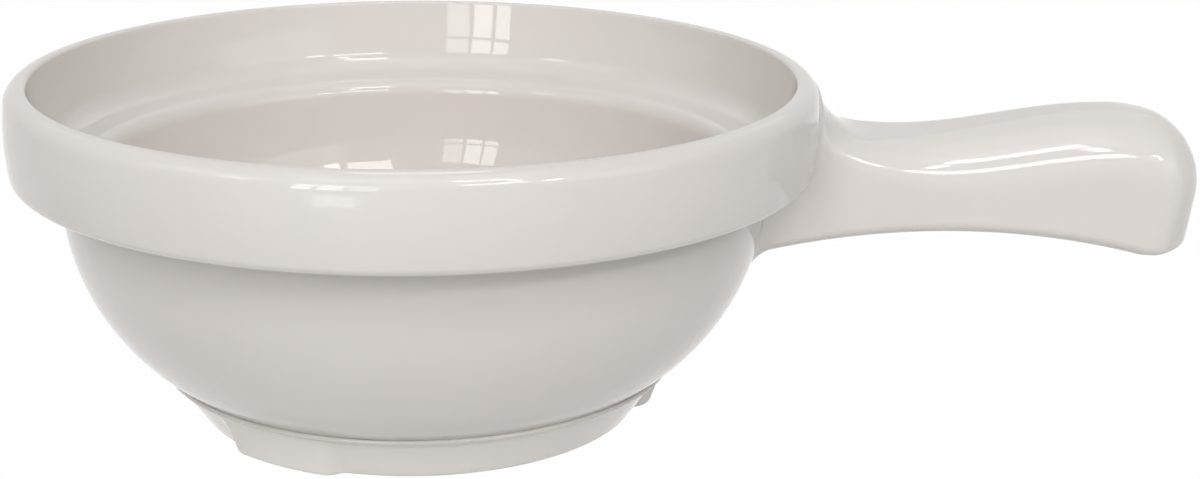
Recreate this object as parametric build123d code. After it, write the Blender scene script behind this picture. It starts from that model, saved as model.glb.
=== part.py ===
from build123d import *

import math
import os

# A glazed stoneware soup bowl with one long solid handle. All sizes are in millimetres.
# The bowl stands on z = 0 with its axis on Z, and the handle reaches out along +X.

# Collar: the upright band round the mouth, which overhangs the belly
bowl_height = 52.0
collar_radius = 61.0
collar_height = 13.5
collar_swell = 0.6
collar_overhang = 7.6
collar_lower_round = 1.4
collar_cove = 2.5
rim_outer_round = 2.4
rim_land = 0.1
rim_inner_round = 0.5

# Inner wall of the collar, which leans in and bows a little, and the ledge below it
wall_lean = 2.3
wall_bow = 0.3
ledge_thickness = 2.75
ledge_fall = 2.55
ledge_cove = 5.0
ledge_nose = 3.0

# Belly outside and well inside
belly_straight = 0.4
belly_wall = 4.1
belly_inset = 23.4
base_level = 3.1
floor_thickness = 4.2

# Foot: a ring that tapers towards the table, with three lugs round it
foot_height = 8.0
foot_spread = 3.8
foot_taper = 5.65
foot_land = 3.7
foot_edge_round = 0.9
lug_stand_out = 2.3
lug_drop = 1.25
lug_edge_round = 1.6
lug_end_round = 1.8
lug_span = 30.5
rear_lug_angle = 125.0

# Slip that the foot and the handle are stuck on with before firing
slip_thickness = 0.5

# Handle: saddle on top, one long arc underneath, flared towards the end
handle_length = 63.2
handle_width = 22.0
handle_drop = 10.0
saddle_distance = 12.0
crest_setback = 16.7
crest_rise = 3.65
root_cove = 10.0
waist_thickness = 13.65
waist_distance = 18.0
underside_radius = 128.0
root_crown = 1.0
end_crown = 9.5
crown_start = 1.2
crown_run = 11.7
top_land = 0.6
top_bow = 0.1
under_edge_round = 1.8
end_radius = 14.9
end_level = 23.9
end_draft = 2.8
end_top_round = 11.9
end_bottom_round = 1.9

# Places that follow from the sizes above
collar_bottom = bowl_height - collar_height
mouth_radius = collar_radius - collar_swell - rim_outer_round - rim_land - rim_inner_round
belly_radius = collar_radius - collar_overhang
belly_top = collar_bottom - collar_cove - belly_straight
base_radius = belly_radius - belly_inset
foot_bottom_radius = base_radius + foot_spread
ledge_radius = mouth_radius - wall_lean
ledge_level = collar_bottom + ledge_thickness
nose_level = ledge_level - ledge_fall
well_radius = belly_radius - belly_wall
well_top = nose_level - ledge_nose
floor_level = base_level + floor_thickness
well_curve = well_top - floor_level
saddle_top = bowl_height - handle_drop
crest_top = saddle_top + crest_rise
handle_end = collar_radius + handle_length
saddle_x = collar_radius + saddle_distance
crest_x = handle_end - crest_setback
end_centre = handle_end - end_radius
waist_x = collar_radius + waist_distance


def arc_radius(half_chord, sagitta):
    """Radius of an arc from half its chord and its rise."""
    return (half_chord**2 + sagitta**2) / (2 * sagitta)


def rounded_outline(lines, corners):
    """Face inside a closed outline, with each (radius, height, rounding) corner rounded."""
    outline = make_face(lines)
    for radius, height, rounding in corners:
        nearest = outline.vertices().sort_by_distance((radius, height))[0]
        outline = fillet(nearest, rounding)
    return outline


def turned(outline, sweep=360):
    """Solid turned about the bowl's axis from an outline of radii and heights."""
    return revolve(Plane.XZ * outline, Axis.Z, revolution_arc=sweep)


def collar_edge(coat):
    """Radius of the collar's face at its upper and lower corners, under a coat."""
    curve = arc_radius(collar_height / 2, collar_swell)
    reach = math.sqrt((curve + coat) ** 2 - (collar_height / 2 + coat) ** 2)
    return collar_radius - curve + reach


def outside_lines(coat=0):
    """Outside of the bowl, under a coat, from the axis below the floor to the top of the rim."""
    low = base_level - coat
    high = bowl_height + coat
    under_collar = collar_bottom - coat
    wall = belly_radius + coat
    edge = collar_edge(coat)
    belly_curve = arc_radius(belly_top - base_level, belly_inset)
    belly_sweep = math.degrees(math.asin((belly_top - low) / (belly_curve + coat)))
    belly = CenterArc((belly_radius - belly_curve, belly_top), belly_curve + coat, -belly_sweep, belly_sweep)
    face_middle = (collar_radius + coat, (under_collar + high) / 2)
    return [
        Line((0, low), belly @ 0),
        belly,
        Line((wall, belly_top), (wall, under_collar)),
        Line((wall, under_collar), (edge, under_collar)),
        ThreePointArc((edge, under_collar), face_middle, (edge, high)),
    ]


def outside_corners(coat=0):
    """Corners of the bowl's outside, with their roundings under a coat."""
    edge = collar_edge(coat)
    return [
        (belly_radius + coat, collar_bottom - coat, collar_cove - coat),
        (edge, collar_bottom - coat, collar_lower_round + coat),
        (edge, bowl_height + coat, rim_outer_round + coat),
    ]


def inside_lines():
    """Inside of the bowl from the top of the rim down to the middle of the floor and through it."""
    return [
        Line((collar_edge(0), bowl_height), (mouth_radius, bowl_height)),
        SagittaArc((mouth_radius, bowl_height), (ledge_radius, ledge_level), wall_bow),
        Line((ledge_radius, ledge_level), (well_radius, nose_level)),
        Line((well_radius, nose_level), (well_radius, well_top)),
        CenterArc((well_radius - well_curve, well_top), well_curve, 0, -90),
        Line((well_radius - well_curve, floor_level), (0, floor_level)),
        Line((0, floor_level), (0, base_level)),
    ]


def make_bowl_body():
    """The bowl without its foot and handle."""
    inside_corners = [
        (mouth_radius, bowl_height, rim_inner_round),
        (ledge_radius, ledge_level, ledge_cove),
        (well_radius, nose_level, ledge_nose),
    ]
    return turned(rounded_outline(outside_lines() + inside_lines(), outside_corners() + inside_corners))


def filled_outline(coat=0):
    """Outline of the bowl's outside under a coat of the given thickness, filled to the axis."""
    low = base_level - coat
    high = bowl_height + coat
    closing_lines = [Line((collar_edge(coat), high), (0, high)), Line((0, high), (0, low))]
    return rounded_outline(outside_lines(coat) + closing_lines, outside_corners(coat))


def foot_wall(height):
    """Radius of the foot's outer wall at a height."""
    return foot_bottom_radius + foot_taper * height / foot_height


def foot_outline():
    """Outline of the foot's wall, up to inside the belly."""
    inner = foot_bottom_radius - foot_land
    top = foot_height + floor_thickness
    wall = Polyline((inner, 0), (foot_wall(0), 0), (foot_wall(top), top), (inner, top), close=True)
    return rounded_outline(wall.edges(), [(inner, 0, foot_edge_round), (foot_wall(0), 0, foot_edge_round)])


def lug_outline():
    """Outline of a lug: a wedge on the foot's wall that stands out most at the table."""
    inner = foot_bottom_radius - foot_land / 2
    outer = foot_bottom_radius + lug_stand_out
    top = foot_height - lug_drop
    wedge = Polyline((inner, 0), (outer, 0), (foot_wall(top), top), (inner, top), close=True)
    return rounded_outline(wedge.edges(), [(outer, 0, lug_edge_round)])


def make_lug(outline, angle):
    """One lug of the foot from its outline, with rounded ends, centred at an angle from the handle."""
    lug = turned(outline, lug_span)
    wall = lug.faces().filter_by(GeomType.CONE)[0]
    end_edges = wall.edges().filter_by(GeomType.LINE)
    lug = fillet(end_edges, lug_end_round)
    return Rot(0, 0, angle - lug_span / 2) * lug


def make_foot_ring(ring, lug):
    """The foot ring from its outline, with the lug under the handle and the two at the rear."""
    return turned(ring) + [make_lug(lug, angle) for angle in (0, rear_lug_angle, -rear_lug_angle)]


def swell(share):
    """Smooth rise from 0 at the start to 1 at a share of 1, and down again beyond it."""
    return (1 - math.cos(math.pi * max(share, 0))) / 2


def root_dome(x):
    """Height of the dome across the handle's top, which rises in a cove to the collar's face."""
    inset = min(max(collar_radius + root_cove - x, 0), root_cove)
    return top_bow + root_cove - math.sqrt(root_cove**2 - inset**2)


def handle_shoulder(x):
    """Height of the handle's top edges: level at the saddle, a smooth rise to the crest, then a fall."""
    return saddle_top + crest_rise * swell((x - saddle_x) / (crest_x - saddle_x))


def handle_underside(x):
    """Height of the handle's underside: one long arc, highest at the waist."""
    dip = underside_radius - math.sqrt(underside_radius**2 - (x - waist_x) ** 2)
    return saddle_top - waist_thickness - dip


def handle_crown(x):
    """Rounding of the top edges, crisp at the root and fuller to the end as far as the width allows."""
    way = max(x - collar_radius - crown_start, 0)
    crown = end_crown - (end_crown - root_crown) * math.exp(-way / crown_run)
    return min(crown, handle_width / 2 - top_land)


def handle_section(x, dome):
    """Upright section across the handle: a slab with a domed top and rounded edges."""
    half = handle_width / 2
    top, bottom = handle_shoulder(x), handle_underside(x)
    sides = Polyline((half, top), (half, bottom), (-half, bottom), (-half, top))
    corners = [(-half, top, handle_crown(x)), (half, top, handle_crown(x))]
    corners += [(-half, bottom, under_edge_round), (half, bottom, under_edge_round)]
    roof = ThreePointArc((-half, top), (0, top + dome), (half, top))
    slab = rounded_outline(sides.edges() + [roof], corners)
    return Plane((x, 0, 0), x_dir=(0, 1, 0), z_dir=(1, 0, 0)) * slab


def handle_loft(places):
    """Stretch of the handle through the sections at the given places."""
    return loft([handle_section(x, root_dome(x)) for x in places])


def cove_places(steps):
    """Places of the sections round the cove, at equal turns from the collar's face to the saddle."""
    face_top = bowl_height - rim_outer_round
    first_turn = math.asin(max(saddle_top + root_cove - face_top, 0) / root_cove)
    turns = [first_turn + (math.pi / 2 - first_turn) * i / steps for i in range(steps + 1)]
    return [collar_radius + root_cove * (1 - math.cos(turn)) for turn in turns]


def bar_places(steps):
    """Places of the sections from the cove's end to the handle's end, evenly spaced."""
    first = collar_radius + root_cove
    return [first + (handle_end - first) * i / steps for i in range(steps + 1)]


def end_trim():
    """Block with the handle's end: straight along the bar, then a round end turned about an upright line."""
    low = (end_radius - end_draft, end_level)
    high = (end_radius, crest_top + top_bow)
    side = Polyline((0, end_level), low, high, (0, crest_top + top_bow), close=True)
    side = rounded_outline(side.edges(), [(*low, end_bottom_round), (*high, end_top_round)])
    bar = Pos(end_centre / 2, 0) * Rectangle(end_centre, handle_width)
    return Pos(end_centre, 0) * turned(side) + extrude(bar, 2 * bowl_height)


def handle_blank():
    """Handle with a root that runs on into the bowl, before it is fitted to the bowl."""
    cove = cove_places(steps=7)
    inner_x = belly_radius - handle_width / 2
    root = loft([handle_section(x, root_dome(cove[0])) for x in (inner_x, cove[0])], ruled=True)
    return (root + handle_loft(cove) + handle_loft(bar_places(steps=9))) & end_trim()


def fitted(blank, bowl, coated_bowl):
    """A blank cut to seat on the bowl's coat of slip, and the slip between the two."""
    return blank - coated_bowl, (blank & coated_bowl) - bowl


bowl_outline = filled_outline()
coated_outline = filled_outline(slip_thickness)
foot_seat, foot_slip = fitted(foot_outline(), bowl_outline, coated_outline)
handle, handle_slip_joint = fitted(handle_blank(), turned(bowl_outline), turned(coated_outline))

nodes = {
    "bowl_body": make_bowl_body(),
    "foot_ring": make_foot_ring(foot_seat, lug_outline() - coated_outline),
    "foot_slip_joint": turned(foot_slip),
    "handle": handle,
    "handle_slip_joint": handle_slip_joint,
}

os.makedirs("parts", exist_ok=True)
for name, solid in nodes.items():
    export_step(solid, f"parts/{name}.step")
    print(name, round(solid.volume), "mm3", solid.bounding_box().size)
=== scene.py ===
import math

import bpy
import numpy as np
from mathutils import Matrix, Vector


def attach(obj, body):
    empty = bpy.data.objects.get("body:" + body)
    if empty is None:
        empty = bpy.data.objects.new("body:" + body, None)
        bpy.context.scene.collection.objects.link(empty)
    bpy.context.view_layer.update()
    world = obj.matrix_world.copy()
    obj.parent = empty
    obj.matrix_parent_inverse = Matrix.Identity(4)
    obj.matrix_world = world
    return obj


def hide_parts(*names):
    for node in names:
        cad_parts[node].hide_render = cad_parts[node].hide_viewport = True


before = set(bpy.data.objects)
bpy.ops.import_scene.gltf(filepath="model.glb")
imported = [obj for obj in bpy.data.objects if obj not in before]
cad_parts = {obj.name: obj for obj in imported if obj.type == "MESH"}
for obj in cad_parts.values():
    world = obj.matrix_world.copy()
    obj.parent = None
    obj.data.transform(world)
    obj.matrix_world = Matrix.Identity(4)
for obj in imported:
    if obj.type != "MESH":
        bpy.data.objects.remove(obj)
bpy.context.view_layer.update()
scene = bpy.context.scene
MM = 0.001

# Sizes of the bowl in millimetres, the same as in its solids
BOWL_HEIGHT = 52.0
COLLAR_RADIUS = 61.0
COLLAR_BOTTOM = 38.5
COLLAR_SWELL = 0.6
COLLAR_LOWER_ROUND = 1.4
COLLAR_COVE = 2.5
RIM_OUTER_ROUND = 2.4
RIM_INNER_ROUND = 0.5
MOUTH_RADIUS = 57.4
LEDGE_LEVEL = 41.25
WALL_FOOT_RADIUS = 55.1
WALL_BOW = 0.3
LEDGE_COVE = 5.0
LEDGE_NOSE = 3.0
NOSE_LEVEL = 38.7
BELLY_RADIUS = 53.4
BELLY_TOP = 35.6
BELLY_INSET = 23.4
BASE_LEVEL = 3.1
WELL_RADIUS = 49.3
WELL_TOP = 35.7
FLOOR_LEVEL = 7.3

# Sizes of the foot ring and its lugs, each lug given by its turn and its span in degrees
FOOT_HEIGHT = 8.0
FOOT_BOTTOM_RADIUS = 33.8
FOOT_TAPER = 5.65
FOOT_LAND = 3.7
FOOT_EDGE_ROUND = 0.9
LUG_STAND_OUT = 2.3
LUG_TOP = 6.75
LUG_EDGE_ROUND = 1.6
LUG_END_RUN = 2.6
LUG_END_OUTSIDE = 0.25
LUGS = ((0.0, 30.5), (125.0, 30.5), (235.0, 30.5))

# Points of the foot that only the mesh needs: its top lies hidden in the belly's wall
FOOT_LAND_MIDDLE = 32.0
FOOT_WALL_TOP = 7.4
FOOT_TOP_RADIUS = 38.6
FOOT_TOP_BEND = (34.5, 6.4)
FOOT_INNER_LEVELS = (5.0, 3.2, 2.0)

# Bead of slip along the foot's seam. Each wave has its times round, its share and its start
BEAD_RADIUS = 0.36
BEAD_CENTRE = (39.27, 7.5)
BEAD_FROM = 150.0
BEAD_TO = -62.0
BEAD_BACK = [(37.4, 6.0), (38.6, 7.75)]
BEAD_COVE_FOOT = 5.7
BEAD_COVE_FOOT_SUNK = 0.06
BEAD_COVE_BEND = 7.0
BEAD_COVE_BEND_SUNK = 0.05
BEAD_WAVES = ((5, 0.07, 0.6), (13, 0.05, 2.1), (29, 0.04, 0.0))

# Sizes of the handle
HANDLE_END = 124.2
HANDLE_HALF_WIDTH = 11.0
SADDLE_TOP = 42.0
SADDLE_X = 73.0
CREST_X = 107.5
CREST_RISE = 3.65
ROOT_COVE = 10.0
WAIST_X = 79.0
WAIST_BOTTOM = 28.35
UNDERSIDE_RADIUS = 128.0
ROOT_CROWN = 1.0
END_CROWN = 9.5
CROWN_FROM = 62.2
CROWN_RUN = 11.7
TOP_BOW = 0.1
UNDER_EDGE_ROUND = 1.8
END_RADIUS = 14.9
END_LEVEL = 23.9
END_DRAFT = 2.8
END_TOP_ROUND = 11.9
END_BOTTOM_ROUND = 1.9
END_CREASE = 0.8
CREASE_RUN = 4.0
CREASE_LEAST = 0.05
ROOT_FILLET = 1.2
ROOT_BELLY_FILLET = 2.4

# How the handle's hidden root lies in the bowl's wall
ROOT_SUNK = 0.02
ROOT_DEPTH = 0.8
ROOT_MARGIN = 0.15
MOUTH_MARGIN = 0.9

# Fineness of the meshes
TURNED_SEGMENTS = 288
FOOT_SEGMENTS = 240
LUG_END_STEPS = 16
EDGE_STEPS = 8
LAND_STEPS = 3
WALL_STEPS = 12
BEAD_STEPS = 12
BEAD_COVE_STEPS = 8
RIM_STEP = 0.1
SAME_POINT = 0.02
SAME_TURN = 0.012
NET_LOW = (46.0, -16.0, 20.0)
NET_HIGH = (125.0, 16.0, 54.0)
NET_STEP = 0.55
DRAW_PASSES = 5
DRAW_LIMIT = 0.5
LEAST_STEEP = 0.2
ON_SURFACE = 0.02
SEEN_DEPTH = 0.3

# Places that follow from the sizes
BELLY_CURVE = ((BELLY_TOP - BASE_LEVEL) ** 2 + BELLY_INSET**2) / (2 * BELLY_INSET)
BELLY_CENTRE = BELLY_RADIUS - BELLY_CURVE
BELLY_TURN = -math.degrees(math.asin((BELLY_TOP - BASE_LEVEL) / BELLY_CURVE))
COVE_R = BELLY_RADIUS + COLLAR_COVE
COVE_Z = COLLAR_BOTTOM - COLLAR_COVE
COLLAR_HALF = (BOWL_HEIGHT - COLLAR_BOTTOM) / 2
FACE_CURVE = (COLLAR_HALF**2 + COLLAR_SWELL**2) / (2 * COLLAR_SWELL)
FACE_CENTRE = COLLAR_RADIUS - FACE_CURVE
FACE_MIDDLE = COLLAR_BOTTOM + COLLAR_HALF
WELL_CURVE = WELL_TOP - FLOOR_LEVEL
FOOT_INNER_RADIUS = FOOT_BOTTOM_RADIUS - FOOT_LAND
CREST_TOP = SADDLE_TOP + CREST_RISE + TOP_BOW
END_CENTRE = HANDLE_END - END_RADIUS


def face_round_centre(rounding, height):
    """Centre radius of a rounding that touches the collar's face from inside at a height."""
    return FACE_CENTRE + math.sqrt((FACE_CURVE - rounding) ** 2 - (height - FACE_MIDDLE) ** 2)


def bearing(start, end):
    """Angle in degrees of the way from one point to another."""
    return math.degrees(math.atan2(end[1] - start[1], end[0] - start[0]))


LOWER_ROUND_Z = COLLAR_BOTTOM + COLLAR_LOWER_ROUND
LOWER_ROUND_R = face_round_centre(COLLAR_LOWER_ROUND, LOWER_ROUND_Z)
LOWER_TURN = bearing((FACE_CENTRE, FACE_MIDDLE), (LOWER_ROUND_R, LOWER_ROUND_Z))
UPPER_ROUND_Z = BOWL_HEIGHT - RIM_OUTER_ROUND
UPPER_ROUND_R = face_round_centre(RIM_OUTER_ROUND, UPPER_ROUND_Z)
UPPER_TURN = bearing((FACE_CENTRE, FACE_MIDDLE), (UPPER_ROUND_R, UPPER_ROUND_Z))

# Camera, fitted to the photograph's outlines, in metres and degrees, with its focal length in photo pixels
CAMERA_PLACE = (0.0, -0.307899, 0.119042)
CAMERA_TURN = 5.2274
CAMERA_TILT = 16.9437
CAMERA_ROLL = 0.7609
FOCAL_PIXELS = 2064.634
PHOTO_WIDTH = 1200
SENSOR_WIDTH = 36.0


def add_camera():
    """Camera that looks along +Y, turned to the right, tilted down and rolled."""
    data = bpy.data.cameras.new("camera")
    data.sensor_fit = "HORIZONTAL"
    data.sensor_width = SENSOR_WIDTH
    data.lens = FOCAL_PIXELS / PHOTO_WIDTH * SENSOR_WIDTH
    data.clip_start = 0.01
    data.clip_end = 50.0
    camera = bpy.data.objects.new("camera", data)
    scene.collection.objects.link(camera)
    turned = Matrix.Rotation(math.radians(-CAMERA_TURN), 4, "Z")
    tilted = Matrix.Rotation(math.radians(90 - CAMERA_TILT), 4, "X")
    rolled = Matrix.Rotation(math.radians(CAMERA_ROLL), 4, "Z")
    camera.matrix_world = Matrix.Translation(CAMERA_PLACE) @ turned @ tilted @ rolled
    return camera


scene.camera = add_camera()


# Outlines as lists of (radius, height), with stretches of about a step's length or a count of stretches
def arc(centre, radius, start, end, step=0.4, count=None):
    """Points of an arc between two angles in degrees."""
    count = count or max(4, round(abs(math.radians(end - start)) * radius / step))
    turns = np.radians(np.linspace(start, end, count + 1))
    return [(centre[0] + radius * math.cos(t), centre[1] + radius * math.sin(t)) for t in turns]


def run(start, end, step=1.2, count=None):
    """Points along a straight line."""
    count = count or max(1, round(math.dist(start, end) / step))
    return [tuple(p) for p in np.linspace(start, end, count + 1)]


def corner(before, at, after, rounding, step=0.3, count=None):
    """Arc that rounds the corner between two straight lines."""
    a = (Vector(before) - Vector(at)).normalized()
    b = (Vector(after) - Vector(at)).normalized()
    half = a.angle(b) / 2
    reach = rounding / math.tan(half)
    centre = Vector(at) + (a + b).normalized() * rounding / math.sin(half)
    start = bearing(centre, Vector(at) + a * reach)
    sweep = (bearing(centre, Vector(at) + b * reach) - start + 180) % 360 - 180
    return arc(centre, rounding, start, start + sweep, step, count)


def bow_centre(start, end, bow):
    """Centre and radius of the arc between two points that bows out to the left of the way."""
    half = math.dist(start, end) / 2
    radius = (half**2 + bow**2) / (2 * bow)
    along = (Vector(end) - Vector(start)).normalized()
    middle = (Vector(start) + Vector(end)) / 2
    return middle + Vector((along.y, -along.x)) * (radius - bow), radius


def joined(*stretches):
    """One outline from stretches that follow on from each other."""
    points = []
    for stretch in stretches:
        for point in stretch:
            if not points or math.dist(point, points[-1]) > SAME_POINT:
                points.append(point)
    return points


def inside_outline():
    """Inside of the bowl, from the rim's land down the wall, over the ledge and down to the floor's middle."""
    land_inner = (MOUTH_RADIUS + RIM_INNER_ROUND, BOWL_HEIGHT)
    wall_top = (MOUTH_RADIUS, BOWL_HEIGHT)
    wall_foot = (WALL_FOOT_RADIUS, LEDGE_LEVEL)
    nose = (WELL_RADIUS, NOSE_LEVEL)
    well = (WELL_RADIUS, WELL_TOP)
    floor_edge = (WELL_RADIUS - WELL_CURVE, FLOOR_LEVEL)

    # The cove's centre lies at the same distance above the ledge and inside the wall's arc
    wall_centre, wall_curve = bow_centre(wall_top, wall_foot, WALL_BOW)
    ledge_along = (Vector(nose) - Vector(wall_foot)).normalized()
    ledge_up = Vector((ledge_along.y, -ledge_along.x))
    offset = Vector(wall_foot) + ledge_up * LEDGE_COVE - wall_centre
    share = offset.dot(ledge_along)
    back = math.sqrt(share**2 - offset.length_squared + (wall_curve - LEDGE_COVE) ** 2)
    cove_centre = wall_centre + offset - ledge_along * (share + back)

    cove_turn = bearing(wall_centre, cove_centre)
    wall = arc(wall_centre, wall_curve, bearing(wall_centre, wall_top), cove_turn, 0.5)
    rim_round = corner(land_inner, wall_top, wall[3], RIM_INNER_ROUND, RIM_STEP)
    wall = [point for point in wall if point[1] < rim_round[-1][1] - RIM_STEP]
    ledge_round = arc(cove_centre, LEDGE_COVE, cove_turn, bearing(ledge_up, (0, 0)), 0.3)
    nose_round = corner(wall_foot, nose, well, LEDGE_NOSE)
    return joined(
        rim_round,
        wall,
        ledge_round,
        run(ledge_round[-1], nose_round[0], 0.6),
        nose_round,
        arc((floor_edge[0], WELL_TOP), WELL_CURVE, 0, -90, 0.8),
        run(floor_edge, (0.0, FLOOR_LEVEL), 2.0),
    )


def bowl_outline():
    """Outline of the bowl from the middle of its underside round the rim to the middle of its floor."""
    inside = inside_outline()
    return joined(
        run((0.0, BASE_LEVEL), (BELLY_RADIUS - BELLY_INSET, BASE_LEVEL), 3.0),
        arc((BELLY_CENTRE, BELLY_TOP), BELLY_CURVE, BELLY_TURN, 0, 0.8),
        arc((COVE_R, COVE_Z), COLLAR_COVE, 180, 90, 0.3),
        run((COVE_R, COLLAR_BOTTOM), (LOWER_ROUND_R, COLLAR_BOTTOM), 0.7),
        arc((LOWER_ROUND_R, LOWER_ROUND_Z), COLLAR_LOWER_ROUND, -90, LOWER_TURN, 0.25),
        arc((FACE_CENTRE, FACE_MIDDLE), FACE_CURVE, LOWER_TURN, UPPER_TURN, 0.6),
        arc((UPPER_ROUND_R, UPPER_ROUND_Z), RIM_OUTER_ROUND, UPPER_TURN, 90, 0.22),
        run((UPPER_ROUND_R, BOWL_HEIGHT), inside[0], 0.3),
        inside,
    )


# Meshes
def add_piece(name, points, faces, normals=None):
    """A smooth mesh object from points in millimetres."""
    mesh = bpy.data.meshes.new(name)
    mesh.from_pydata((np.asarray(points) * MM).tolist(), [], faces)
    mesh.validate()
    mesh.shade_smooth()
    if normals is not None:
        mesh.normals_split_custom_set_from_vertices(np.asarray(normals).tolist())
    piece = bpy.data.objects.new(name, mesh)
    scene.collection.objects.link(piece)
    return piece


def lathe(name, outline, segments):
    """Closed solid turned from an outline that starts and ends on the axis."""
    turns = np.linspace(0, 2 * math.pi, segments, endpoint=False)
    points = [(0.0, 0.0, outline[0][1])]
    for radius, height in outline[1:-1]:
        points += [(radius * math.cos(t), radius * math.sin(t), height) for t in turns]
    points.append((0.0, 0.0, outline[-1][1]))
    rings = len(outline) - 2
    last = len(points) - 1
    faces = [(0, 1 + (i + 1) % segments, 1 + i) for i in range(segments)]
    for ring in range(rings - 1):
        low = 1 + ring * segments
        for i in range(segments):
            j = (i + 1) % segments
            faces.append((low + i, low + j, low + segments + j, low + segments + i))
    low = 1 + (rings - 1) * segments
    faces += [(last, low + i, low + (i + 1) % segments) for i in range(segments)]
    return add_piece(name, points, faces)


def turned_loop(name, loops):
    """Closed ring from one closed outline for each turn: a list of (turn, outline)."""
    count = len(loops[0][1])
    points, faces = [], []
    for turn, outline in loops:
        points += [(r * math.cos(turn), r * math.sin(turn), z) for r, z in outline]
    for k in range(len(loops)):
        low, high = k * count, (k + 1) % len(loops) * count
        for i in range(count):
            j = (i + 1) % count
            faces.append((low + i, high + i, high + j, low + j))
    return add_piece(name, points, faces)


# Foot ring with its lugs
def foot_wall(height):
    """Radius of the foot's outer wall at a height."""
    return FOOT_BOTTOM_RADIUS + FOOT_TAPER * height / FOOT_HEIGHT


def foot_outer_side(bottom_radius, rounding):
    """Standing edge and outer wall of the foot or of a lug, with a fixed number of points."""
    top = (foot_wall(LUG_TOP), LUG_TOP)
    bend = corner((FOOT_INNER_RADIUS, 0.0), (bottom_radius, 0.0), top, rounding, count=EDGE_STEPS)
    land = run((FOOT_LAND_MIDDLE, 0.0), bend[0], count=LAND_STEPS)
    wall = run(bend[-1], top, count=WALL_STEPS)
    return np.array(land[:-1] + bend + wall[1:])


def lug_share(turn):
    """How far the lugs stand out at a turn, from 0 beside them to 1 on them, with rounded ends."""
    share = 0.0
    for centre, span in LUGS:
        away = abs((math.degrees(turn) - centre + 180) % 360 - 180)
        inset = math.radians(span / 2 - away) * FOOT_BOTTOM_RADIUS + LUG_END_RUN * LUG_END_OUTSIDE
        u = min(max(inset / LUG_END_RUN, 0), 1)
        share = max(share, u * u * (3 - 2 * u))
    return share


def foot_turns():
    """Turns of the foot's outlines, closer together at the ends of the lugs."""
    turns = list(np.linspace(0, 360, FOOT_SEGMENTS, endpoint=False))
    end_turn = math.degrees(LUG_END_RUN / FOOT_BOTTOM_RADIUS)
    for centre, span in LUGS:
        for side in (-1, 1):
            for k in range(LUG_END_STEPS + 1):
                outside = end_turn * (LUG_END_OUTSIDE - k / LUG_END_STEPS)
                turns.append((centre + side * (span / 2 + outside)) % 360)
    turns.sort()
    kept = turns[:1]
    for turn in turns[1:]:
        if turn - kept[-1] > SAME_TURN:
            kept.append(turn)
    return [math.radians(turn) for turn in kept]


def make_foot():
    """Foot ring whose outer side swells out at the lugs."""
    edge_centre = (FOOT_INNER_RADIUS + FOOT_EDGE_ROUND, FOOT_EDGE_ROUND)
    inner_side = [(FOOT_TOP_RADIUS, FOOT_HEIGHT), FOOT_TOP_BEND]
    inner_side += [(FOOT_INNER_RADIUS, level) for level in FOOT_INNER_LEVELS]
    inner_side += arc(edge_centre, FOOT_EDGE_ROUND, 180, 270, 0.2)
    plain_side = foot_outer_side(FOOT_BOTTOM_RADIUS, FOOT_EDGE_ROUND)
    lug_side = foot_outer_side(FOOT_BOTTOM_RADIUS + LUG_STAND_OUT, LUG_EDGE_ROUND)
    top = (foot_wall(FOOT_WALL_TOP), FOOT_WALL_TOP)
    loops = []
    for turn in foot_turns():
        outer_side = plain_side + (lug_side - plain_side) * lug_share(turn)
        loops.append((turn, inner_side + [tuple(point) for point in outer_side] + [top]))
    return turned_loop("foot_ring_glazed", loops)


def make_bead():
    """Slightly uneven bead of slip along the seam between belly and foot, with a cove down to the foot."""
    cove_foot = np.array((foot_wall(BEAD_COVE_FOOT) - BEAD_COVE_FOOT_SUNK, BEAD_COVE_FOOT))
    cove_bend = np.array((foot_wall(BEAD_COVE_BEND) - BEAD_COVE_BEND_SUNK, BEAD_COVE_BEND))
    loops = []
    for turn in np.linspace(0, 2 * math.pi, TURNED_SEGMENTS, endpoint=False):
        fullness = 1 + sum(share * math.sin(times * turn + start) for times, share, start in BEAD_WAVES)
        roll = arc(BEAD_CENTRE, BEAD_RADIUS * fullness, BEAD_FROM, BEAD_TO, count=BEAD_STEPS)
        end = np.array(roll[-1])
        cove = []
        for u in np.linspace(0, 1, BEAD_COVE_STEPS + 1)[1:]:
            cove.append(tuple((1 - u) ** 2 * end + 2 * u * (1 - u) * cove_bend + u**2 * cove_foot))
        outline = BEAD_BACK + roll + cove
        loops.append((turn, outline[::-1]))
    return turned_loop("foot_seam_bead", loops)


# Handle, from distances to its own form and to the bowl, joined with a rounded root
def arc_distance(r, z, centre, radius, start, end):
    """Distance in the outline's plane to an arc between two angles."""
    turn = np.degrees(np.arctan2(z - centre[1], r - centre[0]))
    middle, half = (start + end) / 2, abs(end - start) / 2
    off = (turn - middle + 180) % 360 - 180
    nearest = np.radians(middle + np.clip(off, -half, half))
    return np.hypot(r - centre[0] - radius * np.cos(nearest), z - centre[1] - radius * np.sin(nearest))


def line_distance(r, z, start, end):
    """Distance in the outline's plane to a straight line between two points."""
    along = np.subtract(end, start)
    share = ((r - start[0]) * along[0] + (z - start[1]) * along[1]) / (along @ along)
    share = np.clip(share, 0, 1)
    return np.hypot(r - start[0] - share * along[0], z - start[1] - share * along[1])


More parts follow.
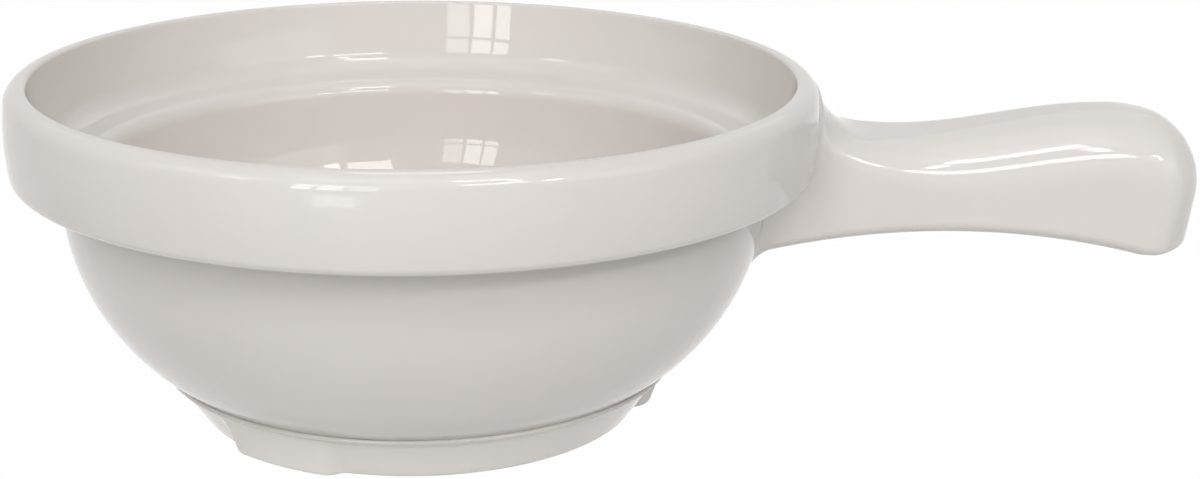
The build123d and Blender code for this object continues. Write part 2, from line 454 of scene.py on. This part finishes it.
def bowl_radius(z):
    """Radius of the bowl's outside at a height."""
    belly = BELLY_CENTRE + np.sqrt(np.maximum(BELLY_CURVE**2 - (z - BELLY_TOP) ** 2, 0))
    cove_rise = np.clip(z - COVE_Z, 0, COLLAR_COVE)
    cove = COVE_R - np.sqrt(np.maximum(COLLAR_COVE**2 - cove_rise**2, 0))
    lower_drop = np.clip(LOWER_ROUND_Z - z, 0, COLLAR_LOWER_ROUND)
    lower = LOWER_ROUND_R + np.sqrt(COLLAR_LOWER_ROUND**2 - lower_drop**2)
    face = FACE_CENTRE + np.sqrt(np.maximum(FACE_CURVE**2 - (z - FACE_MIDDLE) ** 2, 0))
    upper_rise = np.clip(z - UPPER_ROUND_Z, 0, RIM_OUTER_ROUND)
    upper = UPPER_ROUND_R + np.sqrt(RIM_OUTER_ROUND**2 - upper_rise**2)
    lower_end = LOWER_ROUND_Z + COLLAR_LOWER_ROUND * math.sin(math.radians(LOWER_TURN))
    upper_start = UPPER_ROUND_Z + RIM_OUTER_ROUND * math.sin(math.radians(UPPER_TURN))
    heights = [z < BELLY_TOP, z < COVE_Z, z < COLLAR_BOTTOM]
    heights += [z < lower_end, z < upper_start, z < BOWL_HEIGHT]
    return np.select(heights, [belly, BELLY_RADIUS + 0 * z, cove, lower, face, upper], 0 * z)


def bowl_distance(p):
    """Signed distance to the bowl's outside."""
    r, z = np.hypot(p[..., 0], p[..., 1]), p[..., 2]
    near = arc_distance(r, z, (BELLY_CENTRE, BELLY_TOP), BELLY_CURVE, BELLY_TURN, 0)
    for other in (
        line_distance(r, z, (BELLY_RADIUS, BELLY_TOP), (BELLY_RADIUS, COVE_Z)),
        arc_distance(r, z, (COVE_R, COVE_Z), COLLAR_COVE, 90, 180),
        line_distance(r, z, (COVE_R, COLLAR_BOTTOM), (LOWER_ROUND_R, COLLAR_BOTTOM)),
        arc_distance(r, z, (LOWER_ROUND_R, LOWER_ROUND_Z), COLLAR_LOWER_ROUND, -90, LOWER_TURN),
        arc_distance(r, z, (FACE_CENTRE, FACE_MIDDLE), FACE_CURVE, LOWER_TURN, UPPER_TURN),
        arc_distance(r, z, (UPPER_ROUND_R, UPPER_ROUND_Z), RIM_OUTER_ROUND, UPPER_TURN, 90),
        line_distance(r, z, (MOUTH_RADIUS, BOWL_HEIGHT), (UPPER_ROUND_R, BOWL_HEIGHT)),
    ):
        near = np.minimum(near, other)
    return np.where(r < bowl_radius(z), -near, near)


def swell(share):
    """Smooth rise from 0 to 1 at a share of 1, and down again beyond it."""
    return (1 - np.cos(np.pi * np.clip(share, 0, 2))) / 2


def handle_underside(x):
    """Height of the handle's underside, one long arc."""
    return WAIST_BOTTOM - UNDERSIDE_RADIUS + np.sqrt(UNDERSIDE_RADIUS**2 - (x - WAIST_X) ** 2)


def rounded_edge(a, b, rounding):
    """Signed distance to the rounded edge between two faces, from the distances to both."""
    qa, qb = a + rounding, b + rounding
    outside = np.hypot(np.maximum(qa, 0), np.maximum(qb, 0))
    return outside + np.minimum(np.maximum(qa, qb), 0) - rounding


def soft_max(a, b, softness):
    """The larger of two distances, with the crease between them softened."""
    near = np.maximum(softness - np.abs(a - b), 0) / softness
    return np.maximum(a, b) + near**2 * softness / 4


def end_distance(reach, z):
    """Signed distance to the outline of the handle's round end, by the reach from its upright line."""
    rise = CREST_TOP - END_LEVEL
    along = np.array((END_DRAFT, rise)) / math.hypot(END_DRAFT, rise)
    side = (reach - END_RADIUS) * along[1] - (z - CREST_TOP) * along[0]
    away = np.maximum(np.maximum(side, z - CREST_TOP), END_LEVEL - z)
    top_level = CREST_TOP - END_TOP_ROUND
    bottom_level = END_LEVEL + END_BOTTOM_ROUND
    for level, rounding, way in ((top_level, END_TOP_ROUND, 1), (bottom_level, END_BOTTOM_ROUND, -1)):
        centre = END_RADIUS - (rounding - (level - CREST_TOP) * along[0]) / along[1]
        out, up = reach - centre, z - level
        in_round = (out > 0) & (way * (out * along[0] + up * along[1]) > 0)
        away = np.where(in_round, np.hypot(out, up) - rounding, away)
    return away


def handle_distance(p):
    """Signed distance to the handle's own form."""
    x, y, z = p[..., 0], np.abs(p[..., 1]), p[..., 2]
    shoulder = SADDLE_TOP + CREST_RISE * swell((x - SADDLE_X) / (CREST_X - SADDLE_X))
    inset = np.clip(COLLAR_RADIUS + ROOT_COVE - x, 0, ROOT_COVE)
    dome = np.minimum(ROOT_COVE - np.sqrt(ROOT_COVE**2 - inset**2), UPPER_ROUND_Z - SADDLE_TOP) + TOP_BOW
    roof_curve = (HANDLE_HALF_WIDTH**2 + dome**2) / (2 * dome)
    roof = np.hypot(y, np.maximum(z - shoulder - dome + roof_curve, 0)) - roof_curve
    crown = END_CROWN - (END_CROWN - ROOT_CROWN) * np.exp(-np.maximum(x - CROWN_FROM, 0) / CROWN_RUN)
    side = y - HANDLE_HALF_WIDTH
    upper = rounded_edge(side, roof, crown)
    lower = rounded_edge(side, handle_underside(x) - z, UNDER_EDGE_ROUND)
    section = np.maximum(upper, lower)
    past = np.maximum(x - END_CENTRE, 0)
    end = np.where(past > 0, end_distance(np.hypot(past, y), z), -END_RADIUS)
    crease = END_CREASE * np.clip(past / CREASE_RUN, CREASE_LEAST, 1)
    return soft_max(section, end, crease)


def rooted(p, sunk=0.0):
    """Signed distance to handle and bowl together, with a rounding where they meet."""
    handle_away = handle_distance(p)
    bowl_away = bowl_distance(p) + sunk
    low = np.clip((COLLAR_BOTTOM - p[..., 2]) / COLLAR_COVE, 0, 1)
    rounding = ROOT_FILLET + (ROOT_BELLY_FILLET - ROOT_FILLET) * low * low * (3 - 2 * low)
    near = np.hypot(np.maximum(rounding - handle_away, 0), np.maximum(rounding - bowl_away, 0))
    union = np.maximum(rounding, np.minimum(handle_away, bowl_away)) - near
    return union, handle_away, bowl_away, rounding


def handle_field(p):
    """Signed distance to the handle piece: handle and root rounding, set a little into the bowl's wall."""
    union, handle_away, bowl_away, rounding = rooted(p, ROOT_SUNK)
    set_in = np.maximum(-(bowl_away + ROOT_DEPTH), handle_away - rounding - ROOT_MARGIN)
    inside_mouth = MOUTH_RADIUS + MOUTH_MARGIN - np.hypot(p[..., 0], p[..., 1])
    from_mouth = np.where(p[..., 2] > FACE_MIDDLE, inside_mouth, -1.0)
    return np.maximum(np.maximum(union, set_in), from_mouth)


def slope_of(field, p, step=0.002):
    """Gradient of a field at points."""
    slopes = []
    for axis in range(3):
        shift = np.zeros(3)
        shift[axis] = step
        slopes.append((field(p + shift) - field(p - shift)) / (2 * step))
    return np.stack(slopes, -1)


def surface_net(field, low, high, step):
    """Quads round the zero surface of a field, one point for each cell that it crosses."""
    axes = [np.arange(a, b + step, step) for a, b in zip(low, high)]
    grid = np.stack(np.meshgrid(*axes, indexing="ij"), -1)
    value = field(grid)
    inside = value < 0
    cells = tuple(n - 1 for n in value.shape)

    def shifted(array, c):
        return array[c[0]:c[0] + cells[0], c[1]:c[1] + cells[1], c[2]:c[2] + cells[2]]

    corners = [(i, j, k) for i in (0, 1) for j in (0, 1) for k in (0, 1)]
    count = sum(shifted(inside, c).astype(int) for c in corners)
    crossed = (count > 0) & (count < len(corners))
    index = np.full(cells, -1)
    index[crossed] = np.arange(crossed.sum())
    total = np.zeros((crossed.sum(), 3))
    hits = np.zeros(crossed.sum())
    for a in corners:
        for axis in range(3):
            if a[axis]:
                continue
            b = tuple(1 if k == axis else a[k] for k in range(3))
            va, vb = shifted(value, a)[crossed], shifted(value, b)[crossed]
            cut = (va < 0) != (vb < 0)
            share = np.where(cut, va / np.where(cut, va - vb, 1), 0)
            place = np.array(a, float) + share[:, None] * np.subtract(b, a)
            total += np.where(cut[:, None], place, 0)
            hits += cut
    points = np.array(low) + (np.argwhere(crossed) + total / hits[:, None]) * step
    faces = []
    for axis in range(3):
        b, c = (axis + 1) % 3, (axis + 2) % 3
        first = np.take(inside, range(0, inside.shape[axis] - 1), axis)
        second = np.take(inside, range(1, inside.shape[axis]), axis)
        for place in np.argwhere(first != second):
            if not (0 < place[b] < cells[b] and 0 < place[c] < cells[c]):
                continue
            around = []
            for db, dc in ((1, 1), (0, 1), (0, 0), (1, 0)):
                cell = place.copy()
                cell[b] -= db
                cell[c] -= dc
                around.append(int(index[tuple(cell)]))
            faces.append(around if first[tuple(place)] else around[::-1])
    return points, faces


def drawn_onto(field, points):
    """Points drawn along a field's slope onto its zero surface, each by a limited way."""
    start = points.copy()
    for _ in range(DRAW_PASSES):
        slope = slope_of(field, points)
        steep = np.maximum((slope**2).sum(-1), LEAST_STEEP)
        points = points - field(points)[:, None] * slope / steep[:, None]
        moved = points - start
        length = np.linalg.norm(moved, axis=1)[:, None]
        points = start + moved * np.minimum(1, DRAW_LIMIT / np.maximum(length, 1e-9))
    return points


def make_handle():
    """Handle on its exact surface, with the normals of handle and bowl together where it is seen."""
    points, faces = surface_net(handle_field, NET_LOW, NET_HIGH, NET_STEP)
    points = drawn_onto(handle_field, points)
    union, _, bowl_away, _ = rooted(points, ROOT_SUNK)
    seen = (union > -ON_SURFACE) & (bowl_away > -SEEN_DEPTH)
    seen_normals = slope_of(lambda p: rooted(p)[0], points)
    piece_normals = slope_of(handle_field, points)
    normals = np.where(seen[:, None], seen_normals, piece_normals)
    normals /= np.maximum(np.linalg.norm(normals, axis=1), 1e-9)[:, None]
    return add_piece("handle_glazed", points, faces, normals)


bowl = lathe("bowl_glazed", bowl_outline(), TURNED_SEGMENTS)
foot = make_foot()
seam = make_bead()
handle = make_handle()


# Materials
def linear(red, green, blue):
    """Scene colour from display values of 0 to 255."""
    shares = [c / 255 for c in (red, green, blue)]
    return [c / 12.92 if c <= 0.04045 else ((c + 0.055) / 1.055) ** 2.4 for c in shares] + [1.0]


GLAZE = linear(233, 228, 223)
GLAZE_WARM = linear(230, 224, 219)
GLAZE_THIN = linear(221, 216, 211)
GLAZE_DEEP = linear(225, 221, 217)
# Colour of the painted shade under the collar and above the seam
PAINTED_SHADE = linear(202, 197, 192)
# Colour of the painted light on the foot, as if lit from the table
PAINTED_TABLE_LIGHT = linear(254, 250, 246)
SPECK = linear(140, 122, 104)
BARE_CLAY = linear(196, 187, 175)

# Painted shade, in millimetres: darker in the cove under the collar, where the collar shades it, and on the
# belly just above the seam
COLLAR_SHADE_FROM = 27.0
COLLAR_SHADE_TO = 38.2
COLLAR_SHADE_TOP = 38.6
COLLAR_SHADE_INNER = 51.5
COLLAR_SHADE_OUTER = 58.5
COLLAR_SHADE_POWER = 1.6
SEAM_SHADE_FROM = 7.7
SEAM_SHADE_TO = 13.5
SEAM_SHADE_INNER = 38.5
SEAM_SHADE_SHARE = 0.6

# Standing edge without glaze, in millimetres
BARE_BELOW = 0.22
BARE_FADE = 0.12
BARE_UNEVEN = 0.6


class Nodes:
    """Short calls for building a node tree."""

    def __init__(self, tree):
        self.tree = tree
        tree.nodes.clear()

    def add(self, kind, inputs=None, **settings):
        """A node with settings, and with inputs that are values or links."""
        node = self.tree.nodes.new(kind)
        for name, value in settings.items():
            setattr(node, name, value)
        for name, value in (inputs or {}).items():
            socket = node.inputs[name]
            if isinstance(value, bpy.types.NodeSocket):
                self.tree.links.new(value, socket)
            else:
                socket.default_value = value
        return node

    def math(self, operation, a, b=0.0):
        return self.add("ShaderNodeMath", {0: a, 1: b}, operation=operation).outputs[0]

    def product(self, first, *others):
        for other in others:
            first = self.math("MULTIPLY", first, other)
        return first

    def mix(self, share, a, b):
        return self.add("ShaderNodeMix", {0: share, 6: a, 7: b}, data_type="RGBA").outputs[2]

    def noise(self, vector, scale, detail=2.0, roughness=0.5):
        inputs = {"Vector": vector, "Scale": scale, "Detail": detail, "Roughness": roughness}
        return self.add("ShaderNodeTexNoise", inputs).outputs["Fac"]

    def span(self, value, low, high, to_low=0.0, to_high=1.0):
        inputs = {"Value": value, "From Min": low, "From Max": high, "To Min": to_low, "To Max": to_high}
        return self.add("ShaderNodeMapRange", inputs, clamp=True).outputs[0]

    def seen(self):
        """1 for rays from the camera, a mirroring surface or glass, and 0 for the light on the object."""
        rays = self.add("ShaderNodeLightPath").outputs
        mirrored = self.math("MAXIMUM", rays["Is Glossy Ray"], rays["Is Transmission Ray"])
        return self.math("MAXIMUM", rays["Is Camera Ray"], mirrored)

    def finish(self, kind, shader):
        self.add(kind, {"Surface": shader.outputs[0]})


def painted_shade_share(n, height, radius):
    """Share of painted shade: growing towards the collar, under its overhang, and fading out above the foot's
    seam.
    """
    rise = n.span(height, COLLAR_SHADE_FROM * MM, COLLAR_SHADE_TO * MM)
    in_cove = n.math("POWER", rise, COLLAR_SHADE_POWER)
    below_collar = n.math("LESS_THAN", height, COLLAR_SHADE_TOP * MM)
    outside = n.math("GREATER_THAN", radius, COLLAR_SHADE_INNER * MM)
    near_wall = n.span(radius, BELLY_RADIUS * MM, COLLAR_SHADE_OUTER * MM, 1.0, 0.0)
    collar_shade = n.product(in_cove, below_collar, outside, near_wall)
    above_seam = n.span(height, FOOT_HEIGHT * MM, SEAM_SHADE_TO * MM, SEAM_SHADE_SHARE, 0.0)
    on_belly = n.math("GREATER_THAN", height, SEAM_SHADE_FROM * MM)
    beside_foot = n.math("GREATER_THAN", radius, SEAM_SHADE_INNER * MM)
    seam_shade = n.product(above_seam, on_belly, beside_foot)
    return n.math("MAXIMUM", collar_shade, seam_shade)


def speck_share(n, place):
    """Faint specks in a few of many cells."""
    cells = n.add("ShaderNodeTexVoronoi", {"Vector": place, "Scale": 260.0}).outputs
    draw = n.add("ShaderNodeSeparateColor", {0: cells["Color"]}).outputs[0]
    chosen = n.math("GREATER_THAN", draw, 0.985)
    dot = n.math("LESS_THAN", cells["Distance"], 0.05)
    return n.product(chosen, dot, 0.35)


def glaze_bump(n, place, marks):
    """Unevenness of the gloss, with depths in millimetres: slow waves, a fine peel and turning marks."""
    waves = n.noise(place, scale=45.0, roughness=0.4)
    peel = n.noise(place, scale=420.0)
    inputs = {}
    for height, strength, depth in ((waves, 0.35, 0.25), (peel, 0.2, 0.02), (marks, 0.25, 0.012)):
        inputs |= {"Height": height, "Strength": strength, "Distance": depth * MM}
        inputs["Normal"] = n.add("ShaderNodeBump", inputs).outputs[0]
    return inputs["Normal"]


def bared(n, place, height, mottle, colour, rough):
    """Colour and roughness of the foot: painted light that makes it paler towards the table, and bare clay on
    the standing edge.
    """
    uneven = n.product(n.math("SUBTRACT", mottle, 0.5), BARE_UNEVEN * MM)
    edge = n.math("ADD", height, uneven)
    bare = n.span(edge, BARE_BELOW * MM, (BARE_BELOW + BARE_FADE) * MM, 1.0, 0.0)
    grain = n.noise(place, scale=1500.0, detail=4.0, roughness=0.6)
    clay = n.mix(grain, BARE_CLAY, GLAZE_THIN)
    # Painted light: the foot paler towards the table, as if lit from below by it
    colour = n.mix(n.span(height, 0.0, FOOT_HEIGHT * MM, 1.0, 0.2), colour, PAINTED_TABLE_LIGHT)
    return n.mix(bare, colour, clay), n.math("ADD", rough, n.product(bare, 0.5))


def glaze_material(name, bare_foot=False, thin_share=0.0):
    """Bone-white glaze: slight clouds and specks, thin on edges, painted shade under the collar and above the
    seam, painted light on the foot, with turning marks.
    """
    material = bpy.data.materials.new(name)
    material.use_nodes = True
    n = Nodes(material.node_tree)
    place = n.add("ShaderNodeTexCoord").outputs["Object"]
    x, y, height = n.add("ShaderNodeSeparateXYZ", {0: place}).outputs
    flat = n.add("ShaderNodeCombineXYZ", {0: x, 1: y}).outputs[0]
    radius = n.add("ShaderNodeVectorMath", {0: flat}, operation="LENGTH").outputs["Value"]
    slow_turn = n.product(n.math("ARCTAN2", y, x), 0.004)
    turned_place = n.add("ShaderNodeCombineXYZ", {0: slow_turn, 1: radius, 2: height}).outputs[0]
    edges = n.add("ShaderNodeNewGeometry").outputs["Pointiness"]

    clouds = n.noise(place, scale=22.0, detail=3.0)
    mottle = n.noise(place, scale=140.0, detail=3.0, roughness=0.6)
    marks = n.noise(turned_place, scale=900.0, roughness=0.6)
    colour = n.mix(n.span(clouds, 0.35, 0.7), GLAZE, GLAZE_WARM)
    colour = n.mix(n.span(mottle, 0.45, 0.8, 0.0, 0.25), colour, GLAZE_DEEP)
    colour = n.mix(n.span(edges, 0.53, 0.62, 0.0, 0.35), colour, GLAZE_THIN)
    # Painted shade: darker under the collar's overhang and on the belly just above the seam
    colour = n.mix(painted_shade_share(n, height, radius), colour, PAINTED_SHADE)
    colour = n.mix(thin_share, colour, GLAZE_THIN)
    colour = n.mix(speck_share(n, place), colour, SPECK)
    rough = n.math("ADD", n.span(mottle, 0.3, 0.8, 0.02, 0.03), n.span(marks, 0.3, 0.8, 0.0, 0.02))
    if bare_foot:
        colour, rough = bared(n, place, height, mottle, colour, rough)
    inputs = {"Base Color": colour, "Roughness": rough, "IOR": 1.42, "Normal": glaze_bump(n, place, marks)}
    n.finish("ShaderNodeOutputMaterial", n.add("ShaderNodeBsdfPrincipled", inputs))
    return material


glaze = glaze_material("bone_white_glaze")
foot_glaze = glaze_material("bone_white_glaze_bare_foot", bare_foot=True)
seam_glaze = glaze_material("thin_glaze_on_seam", thin_share=0.9)
for piece, material, slot, nodes in (
    (bowl, glaze, "glaze", ["bowl_body"]),
    (foot, foot_glaze, "glaze", ["foot_ring"]),
    (handle, glaze, "glaze", ["handle", "handle_slip_joint"]),
    (seam, seam_glaze, "slip", ["foot_slip_joint"]),
):
    piece.data.materials.append(material)
    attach(piece, "root")
    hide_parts(*nodes)


# Floor and background, seen as white, with a plain level of light on the object
WHITE = (1.0, 1.0, 1.0, 1.0)
FLOOR_DARKER = (0.66, 0.66, 0.66, 1.0)
FLOOR_PALER = (0.7, 0.7, 0.7, 1.0)
FLOOR_HALF = 8.0
SEEN_WHITE = 0.985
AMBIENT = 0.14


def floor_material():
    """Pale floor that looks white and keeps a soft shadow."""
    material = bpy.data.materials.new("pale_floor")
    material.use_nodes = True
    n = Nodes(material.node_tree)
    place = n.add("ShaderNodeTexCoord").outputs["Object"]
    tone = n.mix(n.noise(place, scale=6.0), FLOOR_DARKER, FLOOR_PALER)
    plain = n.add("ShaderNodeBsdfDiffuse", {"Color": tone})
    white = n.add("ShaderNodeEmission", {"Color": WHITE, "Strength": 1.0})
    share = n.product(n.seen(), SEEN_WHITE)
    mixed = n.add("ShaderNodeMixShader", {0: share, 1: plain.outputs[0], 2: white.outputs[0]})
    n.finish("ShaderNodeOutputMaterial", mixed)
    return material


def add_floor():
    """Flat floor that the foot stands on."""
    mesh = bpy.data.meshes.new("floor")
    corners = [(a * FLOOR_HALF, b * FLOOR_HALF, 0.0) for a, b in ((-1, -1), (1, -1), (1, 1), (-1, 1))]
    mesh.from_pydata(corners, [], [(0, 1, 2, 3)])
    mesh.materials.append(floor_material())
    floor = bpy.data.objects.new("floor", mesh)
    scene.collection.objects.link(floor)
    return floor


def studio_world():
    """Even surroundings: dim as a light, white where they are seen or mirrored."""
    world = bpy.data.worlds.new("studio")
    world.use_nodes = True
    n = Nodes(world.node_tree)
    strength = n.span(n.seen(), 0.0, 1.0, AMBIENT, SEEN_WHITE)
    n.finish("ShaderNodeOutputWorld", n.add("ShaderNodeBackground", {"Color": WHITE, "Strength": strength}))
    return world


floor = add_floor()
scene.world = studio_world()


# Lights, in metres, watts and degrees
BOWL_AIM = (0.0, 0.0, 0.03)
RIM_AIM = (0.0, 0.0, 0.048)
LAMP_DISTANCE = 1.2
SKY_DISTANCE = 1.6
PANE_HEIGHT = 0.27
PANE_ELEVATION = 9
PANE_ROW_STEP = 14


def add_light(name, azimuth, elevation, distance, size, power, aim=BOWL_AIM):
    """Area light that faces the bowl, by its azimuth to the right of the bowl's front and its elevation."""
    data = bpy.data.lights.new(name, "AREA")
    data.shape = "RECTANGLE"
    data.size, data.size_y = size
    data.energy = power
    a, e = math.radians(azimuth), math.radians(elevation)
    away = Vector((math.sin(a) * math.cos(e), -math.cos(a) * math.cos(e), math.sin(e)))
    light = bpy.data.objects.new(name, data)
    scene.collection.objects.link(light)
    light.location = Vector(aim) + away * distance
    light.rotation_mode = "QUATERNION"
    light.rotation_quaternion = away.to_track_quat("Z", "Y")


# Window with two rows of three panes, mirrored on the inner wall and in the well
for row in range(2):
    elevation = PANE_ELEVATION + PANE_ROW_STEP * row
    for side, azimuth, width, power in (
        ("right", -14.2, 0.15, 0.53),
        ("middle", -22.6, 0.13, 0.8),
        ("left", -29.6, 0.1, 0.58),
    ):
        add_light(f"window_{side}_{row}", azimuth, elevation, LAMP_DISTANCE, (width, PANE_HEIGHT), power)

# Lamps, for the streaks on the handle and the rim
add_light("lamp_right_low", 21, 31, LAMP_DISTANCE, (0.34, 0.15), 1.4)
add_light("lamp_right_high", 22, 53, LAMP_DISTANCE, (0.24, 0.15), 1.1)
add_light("lamp_right_side", 29, 43, LAMP_DISTANCE, (0.06, 0.18), 0.35)
add_light("lamp_right_spot", 37, 29, LAMP_DISTANCE, (0.12, 0.12), 0.5)
add_light("lamp_left", -53, 34, LAMP_DISTANCE, (0.14, 0.1), 0.3)
add_light("lamp_behind", 180, 58, LAMP_DISTANCE, (0.25, 0.3), 0.8)

# Soft glow on the front of the collar, as from a bright place on the table
add_light("table_glow", -20, -7, 0.4, (0.1, 0.07), 0.022, RIM_AIM)
add_light("table_glow_middle", -20, -6.5, 0.38, (0.06, 0.045), 0.016, RIM_AIM)

# Large soft panels for the even light
add_light("sky_front", 0, 60, SKY_DISTANCE, (1.4, 0.5), 2.2)
add_light("sky_left", -65, 40, SKY_DISTANCE, (0.9, 0.6), 1.9)
add_light("sky_right", 50, 22, SKY_DISTANCE, (1.1, 0.7), 2.4)
add_light("sky_back", 180, 46, 2.0, (2.6, 1.4), 4.0)
add_light("sky_top", 0, 82, 1.4, (1.1, 1.1), 2.2)

scene.view_settings.view_transform = "Standard"
